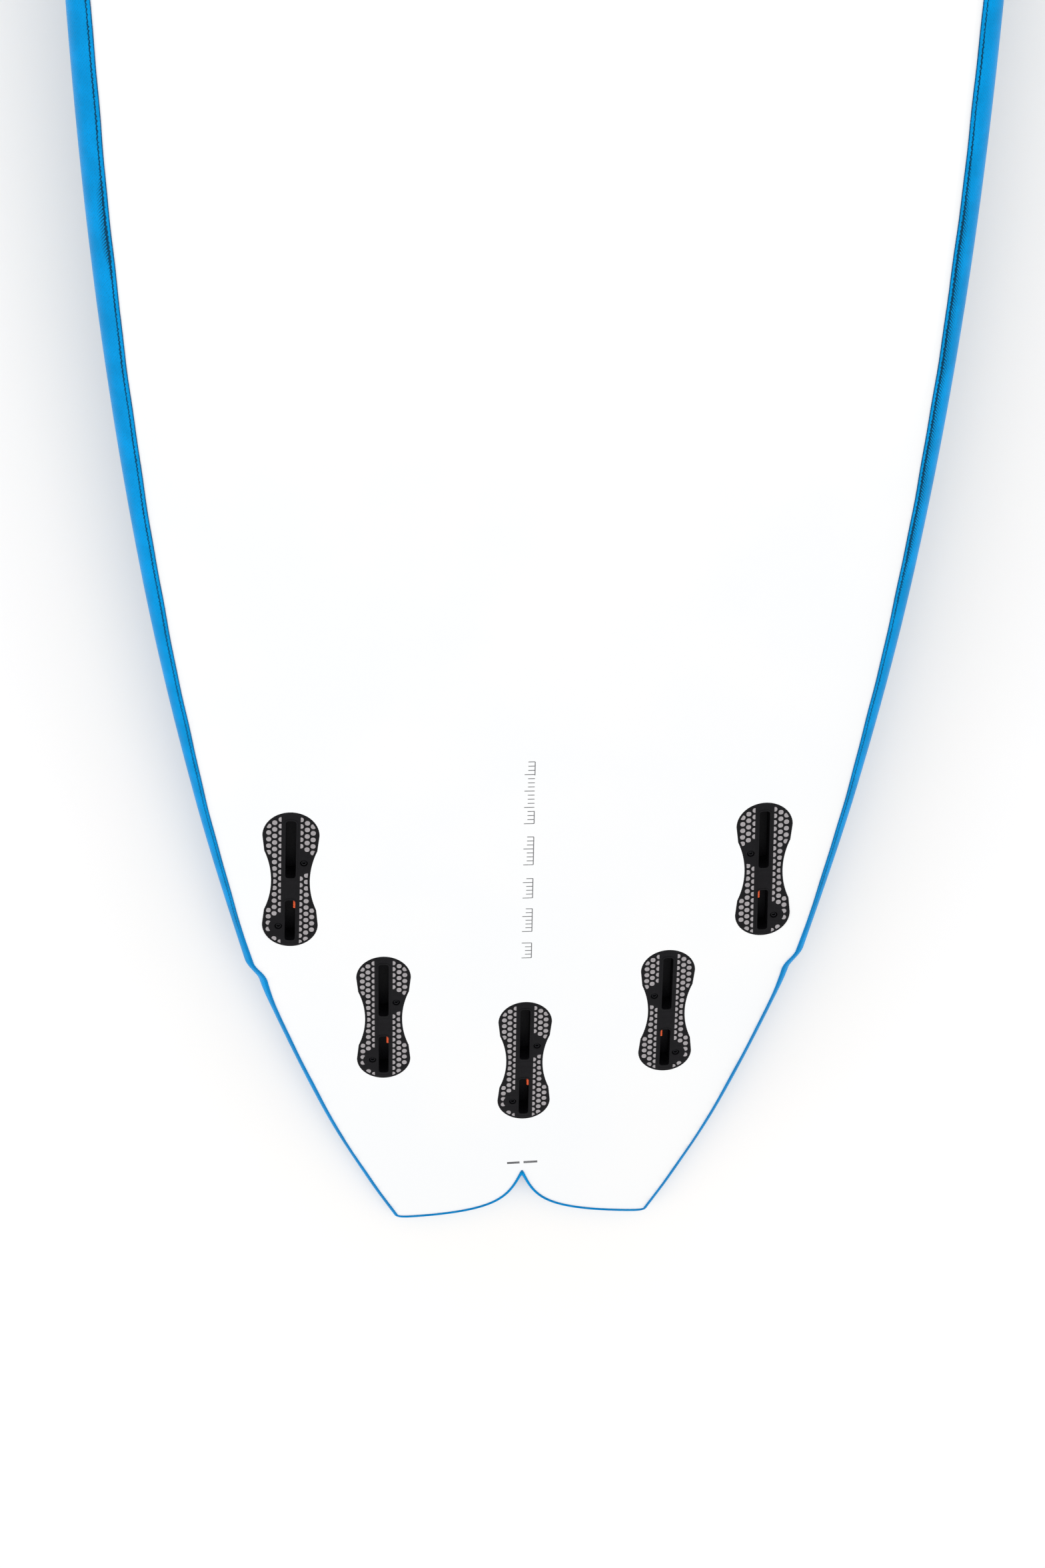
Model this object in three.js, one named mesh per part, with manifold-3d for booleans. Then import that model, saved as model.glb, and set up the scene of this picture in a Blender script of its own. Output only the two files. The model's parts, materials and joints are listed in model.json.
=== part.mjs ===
// A shortboard surfboard lying on its deck, fin side up: foam core, glass laminates, coloured rail
// wraps, five two-slot fin plugs and a leash plug. Millimetres, +Z up, nose towards +Y.
//
// The board is drawn in its own frame: x across, y up the board from the line through the two tail
// tips (y = 0) to the nose tip (y = length), z out of the fin side. z = 0 is the highest point of the
// fin side's centre line. The whole board then tips a little until its nose and tail touch the floor.

import * as THREE from "three";
import { mergeVertices } from "three/addons/utils/BufferGeometryUtils.js";
import Module from "manifold-3d";

const wasm = await Module();
wasm.setup();

// ---------------------------------------------------------------- driving dimensions of the board

const length = 1803.4; // 5 ft 11 in
const noseCapStart = 1650; // from here on the nose is a rounded point
const noseSlope = 0.576; // half-width gained per mm back from the nose tip
const noseRadius = 12;
const tipRadius = 2.5; // of each tail tip, seen from above
const notchDepth = 43; // of the swallow tail
const notchCurve = [{ share: 0.36, spread: 7.5 }, { share: 0.64, spread: 30 }]; // steep, then flatter
const cuspRadius = 1.5;
const wingStep = 5.6; // the small step in the outline, per side
const wingStart = 242;
const wingEnd = 260;

const flatSpot = 880; // highest point of the fin side
const tailRocker = 57;
const noseRocker = 120;
const noseRockerPower = 2.3;

const railPower = 24; // how square the fin side is near the rail
const domePower = 3.5; // how flat the deck is across
const domeRoundness = 0.5;
const buttRound = 13; // how far the deck rolls down to the tail's edge
const buttEdge = 1.5; // radius of the hard edge on the fin side of the tail

const skin = 0.8; // laminate thickness
const gap = 0.3; // between touching pieces
const tailLap = 2.4; // rail wrap showing along the tail edge, fin side
const deckLap = 42; // rail wrap's width on the deck
const deckTailLap = 13;

// Half-width without the wing's step, thickness, height of the rail's widest line below the fin
// side, and the width of rail wrap showing on the fin side, each at stations up the board.
const halfWidthAt = curveThrough(
  [[0, 102], [40, 121.9], [110, 152.4], [224, 191.4], [257, 199.5], [400, 227.2], [560, 250], [740, 265],
    [920, 269.9], [1100, 265.8], [1300, 238], [1500, 177], [noseCapStart, 107]],
  { endSlope: -0.587 },
);
const thicknessAt = curveThrough([[0, 13], [90, 24], [300, 46], [600, 61.5], [900, 65.5], [1200, 62],
  [1500, 46], [1700, 26], [length, 12]]);
const railDropAt = curveThrough([[0, 5], [300, 13], [900, 24], [1400, 19], [length, 5]]);
const railLapAt = curveThrough([[0, 2.9], [200, 4.3], [336, 6.9], [520, 11.3], [740, 14.7], [900, 15.7],
  [1400, 15], [length, 8]]);

// Stations of the cross sections, closer together where the shape changes quickly.
const stations = [0, 2, 6, 14, 30, 60, 110, 180, 242, 260, 340, 460, 600, 760, 920, 1090, 1260, 1410,
  1540, 1650, 1730, 1775, 1795, length];
const halfSections = 6; // divisions from the centre line to each rail

// ---------------------------------------------------------------- driving dimensions of the plugs

const flangeLength = 116;
const lobeRadius = 19.4;
const lobeStraight = 6; // straight side of each lobe, towards the waist
const waist = 13.3; // half-width in the middle
const flangeThickness = 2.2;
const resinThickness = 2.2;
const bodyDepth = 17;
const spineWidth = 12.4;
const slotWidth = 7.2;
const slotDepth = 14;
const frontSlot = { front: 50.9, rear: 2.2 };
const rearSlot = { front: -17.2, rear: -52.6 };
const frontScrew = { side: 9.1, along: 14.9 };
const rearScrew = { side: -8.1, along: -40.4 };
const screwRadius = 2.3;
const screwLength = 8.5;
const screwSunk = 0.8; // screw head below the flange's face
const socketRadius = 1.35;
const bossRadius = 4.6;
const bossDepth = 12;
const latch = { width: 7.8, height: 8, length: 5.2, proud: 1.5, sunk: 1.6 };
const latchTravel = 1.3;
const spring = { radius: 1.2, wire: 0.35, turns: 3, length: 3.4, seated: 1.4 };

const plugs = [
  { name: "left_front", x: -164.9, y: 335.7, toe: -2.8, hand: 1 },
  { name: "right_front", x: 164.9, y: 335.7, toe: 2.8, hand: -1 },
  { name: "left_rear", x: -102.7, y: 208.3, toe: -0.95, hand: 1 },
  { name: "right_rear", x: 102.7, y: 208.3, toe: 0.95, hand: -1 },
  { name: "centre", x: 0, y: 162.9, toe: 0, hand: 1 },
];

const leash = {
  y: 85, proud: 0.25, flange: 16.5, outer: 14, inner: 10.8,
  rim: 1.4, depth: 13, floor: 2, pin: 1.8, pinDepth: 3.4,
};

// ---------------------------------------------------------------- materials

const finish = (color, roughness, metalness = 0) => new THREE.MeshStandardMaterial({ color, roughness, metalness });
const glassWhite = finish(0xf2f4f5, 0.12);
const foamWhite = finish(0xf4f1e6, 0.9);
const railBlue = finish(0x0095dd, 0.2);
const plugBlack = finish(0x141416, 0.35);
const resinClear = finish(0xd5cbc8, 0.25);
const screwSteel = finish(0x8f9498, 0.35, 1);
const latchOrange = finish(0xf0641e, 0.4);
const springSteel = finish(0xb9bdc1, 0.3, 1);

// ---------------------------------------------------------------- helpers

// A smooth curve through [station, value] pairs: cubics whose slope at a pair is its neighbours' mean.
function curveThrough(points, { endSlope } = {}) {
  const last = points.length - 1;
  const slopes = points.map((point, i) => {
    const before = points[Math.max(i - 1, 0)];
    const after = points[Math.min(i + 1, last)];
    return (after[1] - before[1]) / (after[0] - before[0]);
  });
  slopes[last] = endSlope ?? slopes[last];
  return (s) => {
    const i = Math.min(Math.max(points.findIndex((point) => point[0] > s), 1), last);
    const k = s >= points[last][0] ? last : i;
    const [s0, v0] = points[k - 1];
    const [s1, v1] = points[k];
    const span = s1 - s0;
    const t = Math.min(Math.max((s - s0) / span, 0), 1);
    const rise = v1 - v0;
    const a = slopes[k - 1] * span - rise;
    const b = rise - slopes[k] * span;
    return v0 + t * rise + t * (1 - t) * (a * (1 - t) + b * t);
  };
}

// 0 at an edge, rising along a quarter circle to 1 at `radius` from it.
function roundOff(distance, radius) {
  const t = Math.min(Math.max(distance / radius, 0), 1);
  return Math.sqrt(1 - (1 - t) ** 2);
}

function smoothStep(t) {
  const c = Math.min(Math.max(t, 0), 1);
  return c * c * (3 - 2 * c);
}

function toManifold(geometry) {
  const bare = geometry.clone();
  bare.deleteAttribute("normal");
  bare.deleteAttribute("uv");
  const merged = mergeVertices(bare, 1e-4);
  return new wasm.Manifold(new wasm.Mesh({
    numProp: 3,
    vertProperties: new Float32Array(merged.attributes.position.array),
    triVerts: new Uint32Array(merged.index.array),
  }));
}

function toGeometry(solid) {
  const mesh = solid.getMesh();
  const geometry = new THREE.BufferGeometry();
  geometry.setAttribute("position", new THREE.BufferAttribute(new Float32Array(mesh.vertProperties), 3));
  geometry.setIndex(new THREE.BufferAttribute(new Uint32Array(mesh.triVerts), 1));
  geometry.computeVertexNormals();
  return geometry;
}

function namedMesh(name, solid, material) {
  const mesh = new THREE.Mesh(toGeometry(solid), material);
  mesh.name = name;
  return mesh;
}

// ---------------------------------------------------------------- the board's shape

function halfWidth(y) {
  const back = length - y;
  if (y > noseCapStart) {
    return Math.sqrt(Math.max((noseSlope * back) ** 2 + 2 * noseRadius * back, 0));
  }
  const wing = wingStep * (1 - smoothStep((y - wingStart) / (wingEnd - wingStart)));
  return halfWidthAt(y) - wing - tipRadius * (1 - roundOff(y, tipRadius));
}

// How far the tail's edge stands up the board from the tail tips, at x.
function buttLine(x) {
  const across = Math.hypot(x, cuspRadius) - cuspRadius;
  return notchCurve.reduce((sum, part) => sum + notchDepth * part.share * Math.exp(-across / part.spread), 0);
}

// How steep that edge is at x, away from the cusp.
function buttSlope(x) {
  const across = Math.hypot(x, cuspRadius) - cuspRadius;
  return notchCurve.reduce(
    (sum, part) => sum + ((notchDepth * part.share) / part.spread) * Math.exp(-across / part.spread), 0);
}

function rocker(y) {
  if (y < flatSpot) {
    return -tailRocker * ((flatSpot - y) / flatSpot) ** 2;
  }
  return -noseRocker * ((y - flatSpot) / (length - flatSpot)) ** noseRockerPower;
}

// Slope of the fin side along the board, in radians.
function rockerAngle(y) {
  const step = 1;
  return Math.atan((rocker(y + step) - rocker(y - step)) / (2 * step));
}

// Height of the fin side (side = 1) or the deck (side = -1) above a plan point, for the board's
// outer surface pulled in by `inset`. `across` runs from -1 to 1 between the rails.
function surfaceHeight(side, x, y, across, inset) {
  const fromButt = (y - buttLine(x) - inset) / Math.hypot(1, buttSlope(x));
  const noseRound = roundOff(length - inset - y, noseRadius);
  const drop = railDropAt(y);
  const edge = Math.max(1 - Math.abs(across) ** (side > 0 ? railPower : domePower), 0);
  const widest = rocker(y) - drop;
  if (side > 0) {
    return widest + (drop - inset) * Math.sqrt(edge) * roundOff(fromButt, buttEdge) * noseRound;
  }
  const depth = thicknessAt(y) - drop - inset;
  return widest - depth * edge ** domeRoundness * roundOff(fromButt, buttRound) * noseRound;
}

// A closed solid over a plan outline, between two height functions of (x, y, across).
// The outline keeps `railInset(y)` from the rails and `tailInset` from the tail's edge, and
// ends at noseEnd. Both sheets use the same plan points.
function solidOverPlan({ railInset, tailInset, noseEnd, top, bottom }) {
  const columns = 2 * halfSections;
  const notchFade = 200;
  const ys = stations.map((y) => tailInset + y * (noseEnd - tailInset) / length);
  const positions = [];
  for (const height of [top, bottom]) {
    for (const start of ys) {
      for (let i = 0; i <= columns; i += 1) {
        const across = Math.sin((i / columns - 0.5) * Math.PI);
        const fade = Math.max(1 - (start - tailInset) / notchFade, 0) ** 2;
        const tipWidth = halfWidth(tailInset) - railInset(tailInset);
        const y = start + buttLine(across * tipWidth) * fade;
        const x = across * Math.max(halfWidth(y) - railInset(y), 0);
        positions.push(x, y, height(x, y, across));
      }
    }
  }
  const sheet = ys.length * (columns + 1);
  const at = (row, column, layer) => layer * sheet + row * (columns + 1) + column;
  const index = [];
  const quad = (a, b, c, d) => index.push(a, b, c, a, c, d);
  for (let row = 0; row < ys.length - 1; row += 1) {
    for (let i = 0; i < columns; i += 1) {
      quad(at(row, i, 0), at(row, i + 1, 0), at(row + 1, i + 1, 0), at(row + 1, i, 0));
      quad(at(row, i, 1), at(row + 1, i, 1), at(row + 1, i + 1, 1), at(row, i + 1, 1));
    }
    quad(at(row, 0, 0), at(row + 1, 0, 0), at(row + 1, 0, 1), at(row, 0, 1));
    quad(at(row, columns, 0), at(row, columns, 1), at(row + 1, columns, 1), at(row + 1, columns, 0));
  }
  const endRow = ys.length - 1;
  for (let i = 0; i < columns; i += 1) {
    quad(at(0, i, 0), at(0, i, 1), at(0, i + 1, 1), at(0, i + 1, 0));
    quad(at(endRow, i, 0), at(endRow, i + 1, 0), at(endRow, i + 1, 1), at(endRow, i, 1));
  }
  const geometry = new THREE.BufferGeometry();
  geometry.setAttribute("position", new THREE.BufferAttribute(new Float32Array(positions), 3));
  geometry.setIndex(index);
  return toManifold(geometry);
}

function boardSolid(inset) {
  return solidOverPlan({
    railInset: () => inset,
    tailInset: inset,
    noseEnd: length - inset,
    top: (x, y, across) => surfaceHeight(1, x, y, across, inset),
    bottom: (x, y, across) => surfaceHeight(-1, x, y, across, inset),
  });
}

// Everything on one side of the rail's widest line, in from the rail wrap's edge.
function insideWrap(side, wrap, tailWrap, noseEnd) {
  const reach = 120;
  const widest = (x, y) => rocker(y) - railDropAt(y);
  const far = (x, y) => widest(x, y) + side * reach;
  return solidOverPlan({
    railInset: wrap,
    tailInset: tailWrap,
    noseEnd,
    top: side > 0 ? far : widest,
    bottom: side > 0 ? widest : far,
  });
}

// ---------------------------------------------------------------- fin plugs, in their own frame
// Local x across the plug, y towards the nose, z = 0 the flange's face, +z out of the board.

// The flange's outline: two lobes, round at their ends and a little straight at their sides,
// joined by a hollow waist, each side one arc.
function flangeShape(grow) {
  const lobe = lobeRadius + grow;
  const end = flangeLength / 2 - lobeRadius;
  const centre = end - lobeStraight;
  const narrow = waist + grow;
  const hollow = (narrow ** 2 + centre ** 2 - lobe ** 2) / (2 * (lobe - narrow));
  const lean = Math.atan2(centre, narrow + hollow);
  const half = [
    ...arcPoints(0, end, lobe, 0, Math.PI, 6),
    ...arcPoints(-narrow - hollow, 0, hollow, lean, -lean, 3),
  ];
  return new THREE.Shape([...half, ...half.map((point) => point.clone().negate())]);
}

function arcPoints(x, y, radius, from, to, segments) {
  const points = [];
  for (let i = 0; i <= segments; i += 1) {
    const angle = from + ((to - from) * i) / segments;
    points.push(new THREE.Vector2(x + radius * Math.cos(angle), y + radius * Math.sin(angle)));
  }
  return points;
}

// A vertical prism of a shape, from z = top down to z = bottom.
function prism(shape, top, bottom, curveSegments = 6) {
  const geometry = new THREE.ExtrudeGeometry(shape, { depth: top - bottom, bevelEnabled: false, curveSegments });
  geometry.translate(0, 0, bottom);
  return toManifold(geometry);
}

// A rectangle with round corners, given by its sides.
function rectangle(left, right, rear, front, radius = 0) {
  const shape = new THREE.Shape();
  if (radius === 0) {
    shape.moveTo(left, rear);
    shape.lineTo(right, rear);
    shape.lineTo(right, front);
    shape.lineTo(left, front);
    shape.closePath();
    return shape;
  }
  shape.absarc(right - radius, rear + radius, radius, -Math.PI / 2, 0, false);
  shape.absarc(right - radius, front - radius, radius, 0, Math.PI / 2, false);
  shape.absarc(left + radius, front - radius, radius, Math.PI / 2, Math.PI, false);
  shape.absarc(left + radius, rear + radius, radius, Math.PI, Math.PI * 1.5, false);
  return shape;
}

function disc(x, y, radius) {
  const shape = new THREE.Shape();
  shape.absarc(x, y, radius, 0, Math.PI * 2, false);
  return shape;
}

// The part of a plug under its flange: a bar round the slots, a boss for each screw and a
// housing beside the rear slot for the latch.
function plugUnderside(hand, top, grow) {
  const half = spineWidth / 2 + grow;
  const end = flangeLength / 2 - 3 + grow;
  const housing = [latch.length + spring.length + 3.6, latch.width / 2 + 1.8 + grow];
  const housingY = rearSlot.front - latch.width / 2 - gap;
  const left = hand > 0 ? 0 : -housing[0] - grow;
  const right = hand > 0 ? housing[0] + grow : 0;
  let solid = prism(rectangle(-half, half, -end, end, 3 + grow), top, -bodyDepth - grow, 2);
  for (const screw of [frontScrew, rearScrew]) {
    solid = solid.add(prism(disc(hand * screw.side, screw.along, bossRadius + grow), top, -bossDepth - grow, 4));
  }
  const box = rectangle(left, right, housingY - housing[1], housingY + housing[1]);
  return solid.add(prism(box, top, -bossDepth - grow));
}

// What stands inside the latch's pocket, and the pocket itself, along the latch's travel.
function latchPlace(hand) {
  const inner = slotWidth / 2 - latch.proud;
  return {
    inner,
    outer: inner + latch.length,
    back: inner + latch.length + latchTravel + spring.length - spring.seated + gap,
    y: rearSlot.front - latch.width / 2 - gap,
    top: -latch.sunk,
    bottom: -latch.sunk - latch.height,
    span: (a, b) => (hand > 0 ? [a, b] : [-b, -a]),
  };
}

function plugBody(hand) {
  let solid = prism(flangeShape(0), 0, -flangeThickness);
  solid = solid.add(plugUnderside(hand, -flangeThickness / 2, 0));
  const half = slotWidth / 2;
  for (const slot of [frontSlot, rearSlot]) {
    solid = solid.subtract(prism(rectangle(-half, half, slot.rear, slot.front, 1.5), 1, -slotDepth, 2));
  }
  for (const screw of [frontScrew, rearScrew]) {
    const hole = disc(hand * screw.side, screw.along, screwRadius + gap);
    solid = solid.subtract(prism(hole, 1, -screwSunk - screwLength - gap, 4));
  }
  const place = latchPlace(hand);
  const [left, right] = place.span(0, place.back);
  const wide = latch.width / 2 + gap;
  const pocket = rectangle(left, right, place.y - wide, place.y + wide);
  return solid.subtract(prism(pocket, place.top + gap, place.bottom - gap));
}

function latchBody(hand) {
  const place = latchPlace(hand);
  const [left, right] = place.span(place.inner, place.outer);
  const half = latch.width / 2;
  const block = prism(rectangle(left, right, place.y - half, place.y + half, 0.6), place.top, place.bottom, 1);
  const boreDepth = spring.seated + latchTravel + gap;
  const bore = new THREE.CylinderGeometry(spring.radius + spring.wire + gap, spring.radius + spring.wire + gap,
    boreDepth + 1, 10);
  bore.rotateZ(Math.PI / 2);
  bore.translate(hand * (place.outer - boreDepth + (boreDepth + 1) / 2), place.y, (place.top + place.bottom) / 2);
  return block.subtract(toManifold(bore));
}

// A small coil spring lying along x, between the latch's bore and the pocket's end wall.
function latchSpring(hand) {
  const place = latchPlace(hand);
  const end = place.back - gap - spring.wire;
  const run = spring.length - 2 * spring.wire;
  const steps = 7 * spring.turns;
  const points = [];
  for (let i = 0; i <= steps; i += 1) {
    const turn = (i / steps) * spring.turns * Math.PI * 2;
    points.push(new THREE.Vector3(hand * (end - (i / steps) * run), place.y + spring.radius * Math.cos(turn),
      (place.top + place.bottom) / 2 + spring.radius * Math.sin(turn)));
  }
  const wire = disc(0, 0, spring.wire);
  const path = new THREE.CatmullRomCurve3(points);
  return toManifold(new THREE.ExtrudeGeometry(wire, { steps, extrudePath: path, curveSegments: 2 }));
}

function grubScrew(hand, place) {
  const solid = prism(disc(hand * place.side, place.along, screwRadius), -screwSunk, -screwSunk - screwLength, 4);
  const socket = new THREE.CylinderGeometry(socketRadius, socketRadius, 4, 6);
  socket.rotateX(Math.PI / 2);
  socket.translate(hand * place.side, place.along, -screwSunk);
  return solid.subtract(toManifold(socket));
}

// The cured resin under the flange and round the plug's underside.
function resinBed(hand) {
  const top = -flangeThickness - gap;
  const bed = prism(flangeShape(0), top, top - resinThickness);
  return bed.subtract(plugUnderside(hand, 0, gap));
}

// Everything cut out of the core for one plug.
function plugPocket(hand) {
  const clear = 20;
  const bed = prism(flangeShape(gap), clear, -flangeThickness - resinThickness - 2 * gap);
  return bed.add(plugUnderside(hand, 0, gap));
}

// ---------------------------------------------------------------- leash plug, in its own frame
// Local z = 0 is the rim's face, a little proud of the deck, +z out of the deck.

function leashCupSolid(grow) {
  const { flange, outer, rim, depth } = leash;
  const profile = [[0, -depth - grow], [outer + grow, -depth - grow], [outer + grow, -rim - grow],
    [flange + grow, -rim - grow], [flange + grow, 0], [0, 0]];
  return toManifold(new THREE.LatheGeometry(profile.map(([r, z]) => new THREE.Vector2(r, z)), 20).rotateX(Math.PI / 2));
}

function leashPinSolid(radius, halfLength) {
  const rod = new THREE.CylinderGeometry(radius, radius, 2 * halfLength, 10);
  rod.rotateZ(Math.PI / 2);
  rod.translate(0, 0, -leash.pinDepth - leash.pin);
  return toManifold(rod);
}

function leashCup() {
  const bore = prism(disc(0, 0, leash.inner), 1, -leash.depth + leash.floor, 5);
  return leashCupSolid(0).subtract(bore).subtract(leashPinSolid(leash.pin + gap, leash.outer - 1));
}

// ---------------------------------------------------------------- assembly

const board = new THREE.Group();

const outer = boardSolid(0);
const shell = outer.subtract(boardSolid(skin));
let core = boardSolid(skin + gap);

const finSideEnd = length - 14;
const deckEnd = length - 62;
let bottomLaminate = shell.intersect(insideWrap(1, railLapAt, tailLap, finSideEnd));
let deckLaminate = shell.intersect(insideWrap(-1, () => deckLap, deckTailLap, deckEnd));
const wraps = shell
  .subtract(insideWrap(1, (y) => railLapAt(y) - gap, tailLap - gap, finSideEnd + gap))
  .subtract(insideWrap(-1, () => deckLap - gap, deckTailLap - gap, deckEnd + gap));

// One half of the board's space, clear of the centre line.
function halfSpace(side) {
  const width = 400;
  const box = new THREE.BoxGeometry(width, 2 * length, 1000);
  box.translate(side * (width / 2 + gap / 2), length / 2, 0);
  return toManifold(box);
}

for (const plug of plugs) {
  const place = new THREE.Group();
  place.position.set(plug.x, plug.y, rocker(plug.y));
  place.rotation.set(rockerAngle(plug.y), 0, THREE.MathUtils.degToRad(plug.toe));
  place.updateMatrix();
  const cut = toManifold(toGeometry(plugPocket(plug.hand)).applyMatrix4(place.matrix));
  core = core.subtract(cut);
  bottomLaminate = bottomLaminate.subtract(cut);
  place.add(
    namedMesh(`${plug.name}_plug_body`, plugBody(plug.hand), plugBlack),
    namedMesh(`${plug.name}_resin_bed`, resinBed(plug.hand), resinClear),
    namedMesh(`${plug.name}_front_screw`, grubScrew(plug.hand, frontScrew), screwSteel),
    namedMesh(`${plug.name}_rear_screw`, grubScrew(plug.hand, rearScrew), screwSteel),
    namedMesh(`${plug.name}_latch`, latchBody(plug.hand), latchOrange),
    namedMesh(`${plug.name}_latch_spring`, latchSpring(plug.hand), springSteel),
  );
  board.add(place);
}

const leashPlace = new THREE.Group();
const deckHeight = (y) => surfaceHeight(-1, 0, y, 0, 0);
const deckAngle = Math.atan((deckHeight(leash.y + 10) - deckHeight(leash.y - 10)) / 20);
leashPlace.position.set(0, leash.y, deckHeight(leash.y) - leash.proud);
leashPlace.rotation.set(Math.PI + deckAngle, 0, 0);
leashPlace.updateMatrix();
const leashCut = toManifold(toGeometry(leashCupSolid(gap)).applyMatrix4(leashPlace.matrix));
core = core.subtract(leashCut);
deckLaminate = deckLaminate.subtract(leashCut);
leashPlace.add(
  namedMesh("leash_plug_cup", leashCup(), plugBlack),
  namedMesh("leash_plug_pin", leashPinSolid(leash.pin, leash.outer - 1 - gap), screwSteel),
);
board.add(leashPlace);

board.add(
  namedMesh("foam_core", core, foamWhite),
  namedMesh("bottom_laminate", bottomLaminate, glassWhite),
  namedMesh("deck_laminate", deckLaminate, glassWhite),
  namedMesh("rail_wrap_left", wraps.intersect(halfSpace(-1)), railBlue),
  namedMesh("rail_wrap_right", wraps.intersect(halfSpace(1)), railBlue),
);

// Tips the board about x until the lowest point of its tail half and of its nose half are level.
function restingTilt(solid) {
  const { vertProperties } = solid.getMesh();
  let tilt = 0;
  for (let round = 0; round < 8; round += 1) {
    const lowest = [Infinity, Infinity];
    for (let i = 0; i < vertProperties.length; i += 3) {
      const [, y, z] = vertProperties.slice(i, i + 3);
      const half = y < length / 2 ? 0 : 1;
      lowest[half] = Math.min(lowest[half], y * Math.sin(tilt) + z * Math.cos(tilt));
    }
    tilt += (lowest[0] - lowest[1]) / length;
  }
  return tilt;
}

board.rotation.x = restingTilt(outer);
board.updateMatrixWorld(true);
const bounds = new THREE.Box3().setFromObject(board, true);
const middle = bounds.getCenter(new THREE.Vector3());
board.position.set(-middle.x, -middle.y, -bounds.min.z);

const surfboard = new THREE.Group();
surfboard.add(board);

export default surfboard;
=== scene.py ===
import json
import math

import bmesh
import bpy
import numpy as np
from mathutils import Matrix, Vector
from mathutils.geometry import delaunay_2d_cdt


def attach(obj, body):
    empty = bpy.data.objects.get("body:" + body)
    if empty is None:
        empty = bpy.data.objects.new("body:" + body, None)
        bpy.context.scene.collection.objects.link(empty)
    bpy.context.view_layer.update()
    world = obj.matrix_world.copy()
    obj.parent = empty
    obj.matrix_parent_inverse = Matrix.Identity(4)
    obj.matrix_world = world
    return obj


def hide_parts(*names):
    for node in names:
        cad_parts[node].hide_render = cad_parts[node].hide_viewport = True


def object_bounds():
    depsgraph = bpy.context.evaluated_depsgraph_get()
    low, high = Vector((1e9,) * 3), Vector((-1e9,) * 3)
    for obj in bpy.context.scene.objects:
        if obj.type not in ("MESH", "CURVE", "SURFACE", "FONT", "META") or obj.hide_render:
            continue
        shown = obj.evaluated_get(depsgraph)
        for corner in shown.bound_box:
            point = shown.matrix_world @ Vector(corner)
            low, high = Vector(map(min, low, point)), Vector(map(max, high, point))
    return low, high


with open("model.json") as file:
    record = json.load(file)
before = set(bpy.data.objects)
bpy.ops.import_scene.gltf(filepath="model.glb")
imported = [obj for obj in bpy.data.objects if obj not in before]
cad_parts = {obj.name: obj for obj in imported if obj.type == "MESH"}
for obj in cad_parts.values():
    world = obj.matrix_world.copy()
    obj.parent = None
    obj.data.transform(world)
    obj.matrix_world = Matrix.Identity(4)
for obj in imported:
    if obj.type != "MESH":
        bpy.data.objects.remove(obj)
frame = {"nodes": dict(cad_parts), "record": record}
cad_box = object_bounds()
record = frame["record"]

# The board is worked out in its own frame, in millimetres, as in the part's source: x across, y up
# the board from the tail tips (0) to the nose (LENGTH), z out of the fin side, 0 at its highest point.
MM = 0.001
BOARD = "board"
FLOOR_GAP = 0.0005  # metres

# ---- the board's driving dimensions

LENGTH = 1803.4
NOSE_CAP_START = 1650
NOSE_SLOPE = 0.576
NOSE_RADIUS = 12
TIP_RADIUS = 2.5
NOTCH_DEPTH = 43
NOTCH_CURVE = [(0.36, 7.5), (0.64, 30)]  # share of the depth, and how fast it opens
CUSP_RADIUS = 1.5
WING_STEP = 5.6
WING_START = 242
WING_END = 260
FLAT_SPOT = 880
TAIL_ROCKER = 57
NOSE_ROCKER = 120
NOSE_ROCKER_POWER = 2.3
RAIL_POWER = 24
DOME_POWER = 3.5
DOME_ROUNDNESS = 0.5
BUTT_ROUND = 13
BUTT_EDGE = 1.5
SKIN = 0.8
SEAM = 0.15  # half the gap between the two rail wraps at nose and notch
TAIL_LAP = 2.4
DECK_LAP = 42
DECK_TAIL_LAP = 13
FIN_SIDE_END = 14  # bare of fin-side laminate, back from the nose tip
DECK_END = 62  # the same on the deck
WING_LAP = 1.25  # how much wider the fin side's lap is at the wing
WING_LAP_REACH = 30  # and how far that reaches to each side of its middle
RIGHT_WEAVE_SHIFT = 400  # so the right rail's weave isn't a copy of the left's

# ---- the plugs' driving dimensions

FLANGE_LENGTH = 116
LOBE_RADIUS = 19.4
LOBE_STRAIGHT = 6
WAIST = 13.3
FLANGE_THICKNESS = 2.2
RESIN_THICKNESS = 2.2
BODY_DEPTH = 17
SEAT_BACK = 7.5  # from the middle of a plug back to its fin seat
OPENING_GROW = 0.1  # the laminates stand back from a flange by this much
SPINE_WIDTH = 12.4
SPINE_TOP = -0.9  # the honeycomb's holes stop here where something stands under the flange
SLOT_WIDTH = 7.2
SLOT_DEPTH = 14
SLOT_CORNER = 2.2
LIP_WIDTH = 1.15
FRONT_SLOT = (2.2, 50.9)
REAR_SLOT = (-52.6, -17.2)
FRONT_SCREW = (9.1, 14.9)
REAR_SCREW = (-8.1, -40.4)
SCREW_RADIUS = 2.3
SCREW_LENGTH = 8.5
SCREW_SUNK = 0.8
SOCKET_RADIUS = 1.35
BOSS_RADIUS = 4.6
BOSS_DEPTH = 12
LATCH = {"width": 7.8, "height": 8, "length": 5.2, "proud": 1.5, "sunk": 1.6, "travel": 1.3}
SPRING = {"radius": 1.2, "wire": 0.35, "turns": 3, "length": 3.4, "seated": 1.4}
GAP = 0.3

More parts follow.
